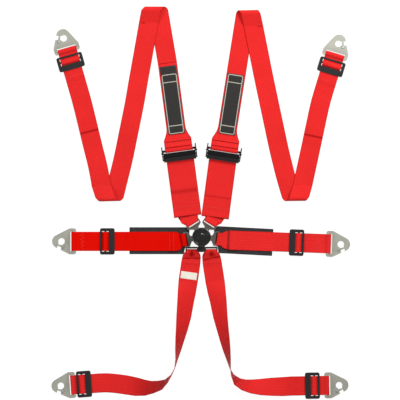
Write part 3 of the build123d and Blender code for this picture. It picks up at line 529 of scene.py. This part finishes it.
RED = webbing_material("red_webbing_weave", (0.94, 0.034, 0.032), (0.6, 0.008, 0.008))
RED_LAP = webbing_material("red_webbing_weave_lap", (0.92, 0.004, 0.0), (0.58, 0.002, 0.0))
THREAD = felt_material("red_thread", (0.85, 0.06, 0.05), (0.45, 0.01, 0.01), 1500.0)
THREAD_BLACK = felt_material("black_thread", (0.03, 0.03, 0.03), (0.008, 0.008, 0.008), 1500.0)
FELT = felt_material("charcoal_felt", (0.03, 0.031, 0.034), (0.008, 0.008, 0.01))
TAPE = tape_material("black_binding_tape", (0.014, 0.014, 0.016), (0.004, 0.004, 0.005))
SATIN = metal_material("satin_zinc", (0.33, 0.33, 0.28), 0.45, 0.6, wear_and_glint=0.05)
BRIGHT = metal_material("bright_steel_finish", (0.66, 0.66, 0.64), 0.28, 0.95)
DULL = metal_material("dark_satin_steel", (0.15, 0.14, 0.12), 0.4, 0.7, wear_and_glint=0.1)
BLACK = metal_material("gloss_black_powder_coat", (0.004, 0.004, 0.0045), 0.25, 0.0, wear_and_glint=0.03,
                       coat=0.2, specular=0.2)
KNOB = metal_material("gloss_black_anodised", (0.006, 0.0055, 0.005), 0.2, 0.0, wear_and_glint=0.04,
                      coat=0.8, specular=0.4)
PLATE = metal_material("black_plate", (0.018, 0.016, 0.015), 0.35, 0.2, wear_and_glint=0.05, specular=0.25)
CAD_LOOKS = {"satin_steel": SATIN, "bright_steel": BRIGHT, "spring_steel": BRIGHT, "dull_steel": DULL,
             "black_metal": BLACK, "knob_black": KNOB}
slot_of = {row["node"]: row["material_slot"] for row in frame["record"]["subparts"]}
for node_name, node in frame["nodes"].items():
    look = PLATE if node_name == "crotch_plate" else CAD_LOOKS.get(slot_of.get(node_name))
    if look:
        node.data.materials.clear()
        node.data.materials.append(look)
# the lock pins push the spring up against the buckle's roof
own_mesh(frame["nodes"]["pin_spring"])


# ---------------------------------------------------------------- meshes
def new_piece(name, verts, faces, mats, body):
    """A smooth mesh, given in millimetres, that rides with a body."""
    mesh = bpy.data.meshes.new(name)
    mesh.from_pydata([v * MM for v in verts], [], faces)
    for mat in mats:
        mesh.materials.append(mat)
    mesh.polygons.foreach_set("use_smooth", [True] * len(mesh.polygons))
    piece = bpy.data.objects.new(name, mesh)
    bpy.context.scene.collection.objects.link(piece)
    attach(piece, body)
    return piece


def add_uv(piece, layer_name, values):
    """A UV map with one value for each vertex."""
    layer = piece.data.uv_layers.new(name=layer_name)
    for loop in piece.data.loops:
        layer.data[loop.index].uv = values[loop.vertex_index]


def smoothstep(x):
    """Eases from 0 to 1 as x goes from 0 to 1."""
    x = min(1.0, max(0.0, x))
    return x * x * (3 - 2 * x)


FULLNESS, WIDE_FULLNESS = 1.02, 1.032   # woven edges stand a little proud of the nominal width
COARSE, FINE, FINE_REACH = 4.0, 1.2, 90   # sample spacing, finer within this reach of the strap's start
# below this y, the painted shade of a fold also falls on the samples beside it
BELOW_TOP_FOLDS = 400


class Run:
    """A strap's route, resampled finely and eased, with ripples where it lies free."""

    def __init__(self, strap, seed, free, ripple, on_edge_shade):
        self.steps, self.pleats, rows = [], [], []
        self.seed, self.free, self.ripple, self.on_edge_shade = seed, free, ripple, on_edge_shade
        for a, b in zip(strap.sections, strap.sections[1:]):
            spacing = COARSE if (a[0] - strap.sections[0][0]).length > FINE_REACH else FINE
            steps = max(1, ceil((b[0] - a[0]).length / spacing))
            for i in range(steps):
                f = i / steps
                rows.append([a[k].lerp(b[k], f) for k in range(3)] + [a[3] + (b[3] - a[3]) * f])
        rows.append(list(strap.sections[-1]))
        for row in rows:
            row[1] = row[1] * (WIDE_FULLNESS if row[3] > 60 else FULLNESS)
        self.at, self.half, self.up = ([row[k] for row in rows] for k in range(3))
        self.ease()
        self.s = [0.0]
        for a, b in zip(self.at, self.at[1:]):
            self.s.append(self.s[-1] + (b - a).length)

    def ease(self):
        """Rounds the small mitres where the strap veers on the flat."""
        flat = [abs(up.z) > 0.999 for up in self.up]
        old_at, old_half = [v.copy() for v in self.at], [v.copy() for v in self.half]
        for i in range(len(self.at)):
            reach = 0
            while (reach < 6 and 0 <= i - reach - 1 and i + reach + 1 < len(flat)
                   and flat[i - reach - 1] and flat[i + reach + 1] and flat[i]):
                reach += 1
            span = range(i - reach, i + reach + 1)
            mean = sum((old_at[j] for j in span), Vector()) / len(span)
            if (mean - old_at[i]).length < 3:
                self.at[i] = Vector((mean.x, mean.y, old_at[i].z))
                self.half[i] = sum((old_half[j] for j in span), Vector()) / len(span)

    def loose(self, i):
        """How free the strap is here, from 0 to 1."""
        p, best = self.at[i], 0.0
        for x0, y0, x1, y1 in self.free:
            inside = min(p.x - x0, x1 - p.x, p.y - y0, y1 - p.y)
            best = max(best, smoothstep(inside / 25))
        return best

    def surface(self, i, u, face, thick=WEB / 2):
        """A point on the strap at sample i, u from -1 to 1 across, on face 1 or -1."""
        at, half, up, s = self.at[i], self.half[i], self.up[i], self.s[i]
        p = at + half * u + up * (face * thick)
        lift = 0.0
        amount = self.ripple * self.loose(i)
        if amount:
            wave = 0.5 + 0.5 * noise.noise(Vector((s / 46, self.seed, 0.3)))
            tilt = noise.noise(Vector((s / 80, self.seed + 9, 0.7)))
            cup = 0.5 + 0.5 * noise.noise(Vector((s / 60, self.seed + 17, 0.1)))
            lift += amount * (wave + 0.9 * abs(tilt) * (1 + u * (1 if tilt > 0 else -1)) + 0.8 * cup * u * u)
        if up.z > 0.2:
            for s0, height, fade, _ in self.steps:
                if s > s0 - 0.6:
                    left_over = 1 - smoothstep((s - s0 - fade / 3) / fade)
                    lift += height * smoothstep((s - s0 + 0.6) / 0.9) * left_over
            for s0, s1, height in self.pleats:
                fold, reach = self.gather(s, u, s0, s1)
                lift += height * fold * reach
        p.z += lift
        return p

    def gather(self, s, u, s0, s1):
        """How high a pleat stands here and how much of it is left, from 0 to 1."""
        f = (s - s0) / (s1 - s0)
        if not 0 < f < 1:
            return 0.0, 0.0
        fold = 0.5 - 0.5 * cos(2 * pi * u * (1 - 0.2 * f))
        return fold, smoothstep(f / 0.12) * (1 - smoothstep((f - 0.5) / 0.5))

    def painted_shade(self, i, u):
        """How much painted shade this point gets, from 0 to 1: in a crease, at a fold low down, or on edge.
        """
        s, beside = self.s[i], 1 if self.at[i].y < BELOW_TOP_FOLDS else 0
        # painted shade where the strap stands on edge
        turn = min(abs(up.z) for up in self.up[max(0, i - beside):i + 1 + beside])
        deep = self.on_edge_shade * (1 - smoothstep((turn - 0.1) / 0.75))
        if abs(self.up[i].z) > 0.2:
            # painted shade lines at steps and creases, half as dark where nothing is raised
            for s0, tall, _, half in self.steps:
                deep = max(deep, (1.0 if tall else 0.5) * (1 - smoothstep(abs(s - s0) / half - 0.3)))
            # painted shade in the pleats' grooves and a painted dark line where they end
            for s0, s1, _ in self.pleats:
                fold, reach = self.gather(s, u, s0, s1)
                deep = max(deep, reach * (1 - fold) ** 2)
                deep = max(deep, 0.9 * (1 - smoothstep(abs(s - s1 + 4 + 3 * u) / 3.5)))
        return deep

    def find(self, x, y):
        """The sample that shows on top at a place on the floor."""
        by_distance = sorted(range(len(self.at)),
                             key=lambda i: (self.at[i].x - x) ** 2 + (self.at[i].y - y) ** 2)
        return max(by_distance[:14], key=lambda i: self.at[i].z)


# places across a strap, closer together at its edges
COLUMNS = [-1.0, -0.99, -0.965, -0.9, -0.78, -0.64, -0.5, -0.36, -0.22, -0.08, 0.08, 0.22, 0.36, 0.5,
           0.64, 0.78, 0.9, 0.965, 0.99, 1.0]


def selvedge(u):
    """Half thickness across the strap: firm rounded edges, flat between."""
    if abs(u) > 0.999:
        return 0.25
    if abs(u) > 0.985:
        return 0.62
    return 0.76 if abs(u) > 0.95 else 0.7


def webbing(name, node, body, route, mat, seed=0.0, free=(), ripple=0.0, hem=False, steps=(), pleats=(),
            on_edge_shade=0.7):
    """A strap as one piece.

    free are boxes on the floor in which the strap ripples. steps are (x, y, height, fade, half width
    of the painted shade line): a sewn layer that starts on top of the strap there, or only a painted shade
    line where the height is 0. pleats are (first spot, last spot, height). on_edge_shade is how much painted
    shade the strap gets where it stands on edge."""
    run = Run(route, seed, free, ripple, on_edge_shade)
    run.steps = [(run.s[run.find(x, y)], *rest) for x, y, *rest in steps]
    run.pleats = [(run.s[run.find(*first)], run.s[run.find(*last)], height) for first, last, height in pleats]
    verts, faces, uvs, edges = [], [], [], []
    top = [(u, 1) for u in COLUMNS]
    ring = top + [(u, -1) for u, _ in reversed(top)]
    count, rows = len(ring), len(run.at)
    end = run.s[-1]
    for i in range(rows):
        from_hem = end - run.s[i] if hem else 99.0
        swell = 1 + 1.6 * (1 - smoothstep((from_hem - 9) / 4))
        # painted shade at the hem's end
        painted_hem_shade = 1.0 - min(1.0, from_hem / 2.5)
        for u, face in ring:
            thick = selvedge(u) * (swell if face * run.up[i].z > 0 else 1.0)
            verts.append(run.surface(i, u, face, thick))
            uvs.append((u * run.half[i].length * MM, run.s[i] * MM))
            edges.append((u, max(painted_hem_shade, run.painted_shade(i, u))))
    for i in range(rows - 1):
        for k in range(count):
            a, b = i * count + k, i * count + (k + 1) % count
            faces.append((a, a + count, b + count, b))
    last = (rows - 1) * count
    for k in range(len(top) - 1):
        m = count - 1 - k
        faces.append((k, k + 1, m - 1, m))
        faces.append((last + k, last + m, last + m - 1, last + k + 1))
    piece = new_piece(name, verts, faces, [mat], body)
    add_uv(piece, "weave", uvs)
    add_uv(piece, "edge", edges)
    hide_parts(node)
    return piece, run


STITCH_FACES = (0, 1, 2, 3), (7, 6, 5, 4), (0, 4, 5, 1), (1, 5, 6, 2), (2, 6, 7, 3), (3, 7, 4, 0)


def add_stitch(verts, faces, p, q, side, low, high, taper, inward):
    """One raised stitch from p to q, narrower and shorter at its top."""
    faces.extend(tuple(len(verts) + n for n in face) for face in STITCH_FACES)
    verts.extend([p + side + low, p - side + low, q - side + low, q + side + low,
                  p + side * taper + high + inward, p - side * taper + high + inward,
                  q - side * taper + high - inward, q + side * taper + high - inward])


def stitches(name, run, body, lines):
    """Red stitches on the side that shows, along lines between points (distance along, u across)."""
    verts, faces = [], []

    def place(s, u):
        i = min(range(len(run.s)), key=lambda k: abs(run.s[k] - s))
        j = min(len(run.s) - 1, i + 1) if run.s[i] <= s else i
        i = j - 1
        f = (s - run.s[i]) / max(1e-6, run.s[j] - run.s[i])
        face = 1 if run.up[i].z > 0 else -1
        a, b = run.surface(i, u, face), run.surface(j, u, face)
        return a.lerp(b, f), (run.up[i] * face).normalized()

    for (s0, u0), (s1, u1) in lines:
        width = run.half[min(range(len(run.s)), key=lambda k: abs(run.s[k] - s0))].length
        length = sqrt((s1 - s0) ** 2 + ((u1 - u0) * width) ** 2)
        number = max(1, int(length / 3.1))
        for k in range(number):
            f0, f1 = (k + 0.08) / number, (k + 0.8) / number
            (p, up), (q, _) = (place(s0 + (s1 - s0) * f, u0 + (u1 - u0) * f) for f in (f0, f1))
            along = (q - p).normalized()
            add_stitch(verts, faces, p, q, up.cross(along) * 0.45, up * -0.15, up * 0.4, 0.6, along * 0.5)
    return new_piece(name, verts, faces, [THREAD], body)


def rows_at(distances, inset=0.9):
    """Lines straight across a strap at these distances along it."""
    return [((s, -inset), (s, inset)) for s in distances]


def row_stitch(run, spots, inset=0.9):
    """Lines straight across a strap at these places on the floor."""
    return rows_at([run.s[run.find(*spot)] for spot in spots], inset)


def zigzag(run, spot, length, teeth, inset=0.85):
    """A zigzag across a strap, starting at a place on the floor."""
    s = run.s[run.find(*spot)]
    points = [(s + length * (k % 2), -inset + 2 * inset * k / teeth) for k in range(teeth + 1)]
    return list(zip(points, points[1:]))


def slab(top, rows, columns, base_z):
    """A closed solid from a grid of points down to a flat base: its points and faces."""
    count, faces = len(top), []
    for i in range(rows - 1):
        for j in range(columns - 1):
            a = i * columns + j
            quad = (a, a + columns, a + columns + 1, a + 1)
            faces += [quad, tuple(count + v for v in quad)[::-1]]
    rim = ([i * columns for i in range(rows)] + [(rows - 1) * columns + j for j in range(1, columns)]
           + [i * columns + columns - 1 for i in range(rows - 2, -1, -1)] + list(range(columns - 2, 0, -1)))
    faces += [(a, a + count, b + count, b) for a, b in zip(rim, rim[1:] + rim[:1])]
    return top + [Vector((v.x, v.y, base_z)) for v in top], faces


PAD_THICK, BINDING, PAD_ROUND = 4.0, 5.2, 1.8   # the binding tape's width and the rounding of its edge
NOTCH_L, NOTCH_W, NOTCH_EASE = 15, 21.5, 4.3   # the last is how far the notch takes to reach its depth


def pad(name, node, body, start, heading, length, width, cut_side):
    """A felt pad with a taped edge and a notch beside the leg strap's bar."""
    margins = [0, 0.25, 0.8, 1.8, 3.4, 5.0, 5.5, 6.2, 8.5, 12.0]
    ahead, left = ray(heading), ray(heading + 90)
    origin = Vector((*start, 0))
    verts, inner = [], []

    def spaced(span, count):
        edge = margins[-1]
        middle = [edge + (span - 2 * edge) * k / count for k in range(1, count)]
        return margins + middle + [span - m for m in reversed(margins)]

    def height(d, x, y):
        """The top's height at a distance from the nearest edge: rounded tape, then sunken felt."""
        if d > BINDING:
            felt = PAD_THICK - 0.55 + 0.35 * smoothstep((d - 5.5) / 6)
            return felt + 0.22 * noise.noise(Vector((x / 9, y / 9, 2.0)))
        tape = PAD_THICK * sqrt(1 - (1 - d / PAD_ROUND) ** 2) if d < PAD_ROUND else PAD_THICK
        return max(0.3, tape)

    xs = spaced(length, 44)
    for x in xs:
        cut = NOTCH_W * min(1.0, (NOTCH_L - x) / NOTCH_EASE) if x < NOTCH_L else 0.0
        ys = spaced(width - cut, 15)
        for y in ys:
            d = min(x, length - x, y, width - cut - y)
            at = origin + ahead * x + left * ((y - width / 2) * cut_side)
            verts.append(at + Vector((0, 0, height(d, x, y))))
            inner.append(d)
    verts, faces = slab(verts, len(xs), len(ys), 0.15)
    if cut_side < 0:
        faces = [face[::-1] for face in faces]
    piece = new_piece(name, verts, faces, [TAPE, FELT], body)
    for poly in piece.data.polygons:
        if all(v < len(inner) and inner[v] > BINDING for v in poly.vertices):
            poly.material_index = 1
    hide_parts(node)


def panel(name, node, body, corner, heading, length, width, z, thick, mat, radius=2.5, curl=0.0):
    """A thin cloth label with rounded corners, soft edges and, with curl, raised sides."""
    ahead, left = ray(heading), ray(heading + 90)
    origin = Vector((corner[0], corner[1], 0))
    verts, uvs = [], []

    def spaced(span, pitch):
        margins, steps = [0, 0.3, 1.0], max(8, int(span / pitch))
        middle = [1 + (span - 2) * k / steps for k in range(1, steps)]
        return margins + middle + [span - m for m in reversed(margins)]

    xs, ys = spaced(length, 4), spaced(width, 3)
    for x in xs:
        end = min(x, length - x)
        pull = radius - sqrt(max(0.0, radius**2 - (radius - end) ** 2)) if end < radius else 0.0
        for y in ys:
            yy = min(max(y, pull), width - pull)
            d = min(x, length - x, yy - pull, width - pull - yy)
            lift = thick * (0.45 + 0.55 * smoothstep(d / 0.9))
            wave = 0.12 * noise.noise(Vector((x / 14, yy / 14, 5.0))) + curl * (2 * yy / width - 1) ** 2
            p = origin + ahead * x + left * (yy - width / 2)
            verts.append(p + Vector((0, 0, z + lift + max(0.0, wave))))
            uvs.append(((yy - width / 2) * MM, (x - length / 2) * MM))
    verts, faces = slab(verts, len(xs), len(ys), z)
    piece = new_piece(name, verts, faces, [mat], body)
    add_uv(piece, "weave", uvs * 2)
    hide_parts(node)


def border_stitches(name, body, corner, heading, length, width, z):
    """Black stitches round a label's edge."""
    ahead, left = ray(heading), ray(heading + 90)
    origin, inset = Vector((corner[0], corner[1], z)), 1.3
    half = width / 2 - inset
    loop = [(inset, -half), (length - inset, -half), (length - inset, half), (inset, half)]
    verts, faces = [], []
    for (x0, y0), (x1, y1) in zip(loop, loop[1:] + loop[:1]):
        span = sqrt((x1 - x0) ** 2 + (y1 - y0) ** 2)
        number = max(1, int(span / 2.8))
        for k in range(number):
            p, q = (origin + ahead * (x0 + (x1 - x0) * f) + left * (y0 + (y1 - y0) * f)
                    for f in ((k + 0.1) / number, (k + 0.8) / number))
            along = (q - p).normalized()
            side = Vector((0, 0, 1)).cross(along) * 0.35
            add_stitch(verts, faces, p, q, side, Vector(), Vector((0, 0, 0.3)), 0.5, along * 0.4)
    new_piece(name, verts, faces, [THREAD_BLACK], body)


# ---------------------------------------------------------------- floor, light and camera
floor_mesh = bpy.data.meshes.new("floor")
floor_mesh.from_pydata([(x, y, -0.0002) for x, y in ((-6, -6), (6, -6), (6, 6), (-6, 6))], [], [(0, 1, 2, 3)])
floor = bpy.data.objects.new("floor", floor_mesh)
bpy.context.scene.collection.objects.link(floor)
paper = Nodes("floor_paper", Roughness=0.9, Specular_IOR_Level=0.1, Emission_Color=(1, 1, 1, 1),
              Emission_Strength=0.9)
paper_tone = paper.scale_colour((0.2, 0.2, 0.2), 0.97, 1.0, paper.noise(paper.place(), 3.0))
floor_mesh.materials.append(paper.finish(paper_tone))

world = bpy.data.worlds.new("studio")
bpy.context.scene.world = world
world.use_nodes = True
world.node_tree.nodes["Background"].inputs["Color"].default_value = (1.0, 1.0, 1.0, 1)
world.node_tree.nodes["Background"].inputs["Strength"].default_value = 0.3


def area_light(name, at, target, size, power):
    data = bpy.data.lights.new(name, "AREA")
    data.shape, data.size, data.energy = "DISK", size, power
    lamp = bpy.data.objects.new(name, data)
    lamp.location = at
    lamp.rotation_euler = (Vector(target) - Vector(at)).to_track_quat("-Z", "Y").to_euler()
    bpy.context.scene.collection.objects.link(lamp)


# the top light is small, for one clear highlight on the knob's dome
area_light("key_light", (1.3, 1.5, 1.9), (0, 0.1, 0), 1.1, 50)
area_light("fill_light", (-1.7, -0.7, 1.6), (0, 0.1, 0), 1.4, 15)
area_light("rim_light", (-0.9, 2.0, 1.3), (0, 0.1, 0), 0.5, 12)
area_light("top_light", (0.1, 0.76, 2.0), (0, 0, 0), 0.15, 2.2)

bpy.context.scene.view_settings.view_transform = "Standard"

camera_data = bpy.data.cameras.new("camera")
camera_data.type, camera_data.ortho_scale = "ORTHO", 1.06
camera = bpy.data.objects.new("camera", camera_data)
camera.location = (-0.004, 0.098, 2.5)
bpy.context.scene.collection.objects.link(camera)
bpy.context.scene.camera = camera

# ---------------------------------------------------------------- straps
# lap straps: a sewn layer with its painted shade line, and a painted shade band near the slide
for strap_name, side, look, args, steps, zigzag_at in (
        ("lap_left", -1, RED_LAP, (180 + LAP_TONGUE_LEFT, -66, 180, -191, -341, 71.8),
         [(-57.5, -10, 2.2, 40, 3.6), (-276, -12, 0, 1, 5)], (-304, -12)),
        ("lap_right", 1, RED, (-LAP_TONGUE_RIGHT, 66, -2.1, 189, 339, 67.6),
         [(69.5, -9, 2.2, 40, 3.4), (276, -15, 0, 1, 5)], (304, -17))):
    piece, run = webbing(f"{strap_name}_webbing", f"{strap_name}_strap", strap_name, lap_route(*args), look,
                         steps=steps)
    lines = row_stitch(run, [(side * 73, -11), (side * 92, -11)]) + zigzag(run, zigzag_at, 9, 8)
    sewn = stitches(f"{strap_name}_stitching", run, strap_name, lines)

# each lower shoulder strap gets one painted shade line across it
for strap_name, args, painted_shade in (
        ("shoulder_left", (90 + SHOULDER_TONGUE, 97.6, LEFT_ADJUSTER, 55), (-44, 121, 0, 1, 5.5)),
        ("shoulder_right", (90 - SHOULDER_TONGUE, 82.4, RIGHT_ADJUSTER, 51), (45, 106, 0, 1, 2))):
    piece, run = webbing(f"{strap_name}_lower_webbing", f"{strap_name}_lower_strap", strap_name,
                         lower_route(*args), RED, hem=True, steps=[painted_shade])
    lines = rows_at([run.s[-1] - d for d in (6, 26)], 0.93)
    sewn = stitches(f"{strap_name}_lower_stitching", run, strap_name, lines)

# each upper strap's seed, the boxes in which it ripples, and the join sewn below its hook; the sewn rows and
# the join each get a painted shade line
for strap_name, seed, free, join in (
        ("shoulder_left", 11.0, [(-300, 245, -150, 430), (-360, 235, -270, 400)], (-299, 278, 1.2, 60, 2.2)),
        ("shoulder_right", 14.0, [(150, 245, 300, 430), (265, 235, 360, 385)], (300.5, 268, 1.0, 60, 1.6))):
    adjuster, heading = Vector((*UPPER[strap_name][0], 0)), UPPER[strap_name][1]
    rows = [(*(adjuster + ray(heading, d)).xy, 1.2, 5, 1.8) for d in (17, 32)]
    piece, run = webbing(f"{strap_name}_upper_webbing", f"{strap_name}_upper_strap", strap_name,
                         upper_route(*UPPER[strap_name]), RED, seed=seed, free=free, ripple=1.1,
                         steps=rows + [join])
    lines = row_stitch(run, [(adjuster + ray(heading, d)).xy for d in (24, 34)], 0.93)
    tail = run.s[run.find(*run.at[-1].xy)]
    lines += rows_at([tail + d for d in (4, 22)])
    sewn = stitches(f"{strap_name}_upper_stitching", run, strap_name, lines)

# how much painted shade each leg strap gets on edge; its pleats get painted shade in their grooves
for strap_name, side, args, on_edge_shade in (("leg_left", -1, (-1, LEFT_LEG, 184, 12), 0.8),
                                     ("leg_right", 1, (1, RIGHT_LEG, 1, 21), 1.0)):
    piece, run = webbing(f"{strap_name}_webbing", f"{strap_name}_strap", "buckle", leg_route(*args), RED,
                         pleats=[((side * 25.5, -36), (side * 27, -60), 6.5)], on_edge_shade=on_edge_shade)
    sewn = stitches(f"{strap_name}_stitching", run, "buckle", row_stitch(run, [(side * 30, -66)]))

# ---------------------------------------------------------------- pads and labels
pad("lap_left_felt_pad", "lap_left_pad", "lap_left", (-32, -9.8), 180, 159, 71.5, 1)
pad("lap_right_felt_pad", "lap_right_pad", "lap_right", (32, -6.3), -3, 157, 71.5, -1)
LABEL_Z, LABEL_W, OUTLINE_L = WEB + 0.3, 44, 162   # a shoulder label's width and its outline's length
for strap_name, length in (("shoulder_left", 182.0), ("shoulder_right", 162.0)):
    adjuster, heading = UPPER[strap_name][:2]
    corner = Vector((*adjuster, 0)) + ray(heading, 48)
    look = label_material(f"{strap_name}_label_cloth", (0.011, 0.009, 0.007), (0.52, 0.5, 0.42),
                          (LABEL_W * MM, OUTLINE_L * MM), 3 * MM, 2 * MM, 4 * MM,
                          shift=(length - OUTLINE_L) / 2 * MM, band=20 * MM)
    panel(f"{strap_name}_cloth_label", f"{strap_name}_label", strap_name, corner, heading, length, LABEL_W,
          LABEL_Z, 0.9, look)
    border_stitches(f"{strap_name}_label_stitching", strap_name, corner, heading, length, LABEL_W,
                    LABEL_Z + 0.75)
tag = label_material("approval_label_cloth", (0.9, 0.87, 0.76), (0.7, 0.64, 0.5), (43 * MM, 19 * MM),
                     1.6 * MM, 0.4 * MM, 1.5 * MM)
panel("approval_cloth_label", "approval_label", "buckle", (-32.3, -93), 262.2, 19, 43, LABEL_Z, 0.5, tag,
      radius=1.5, curl=0.15)
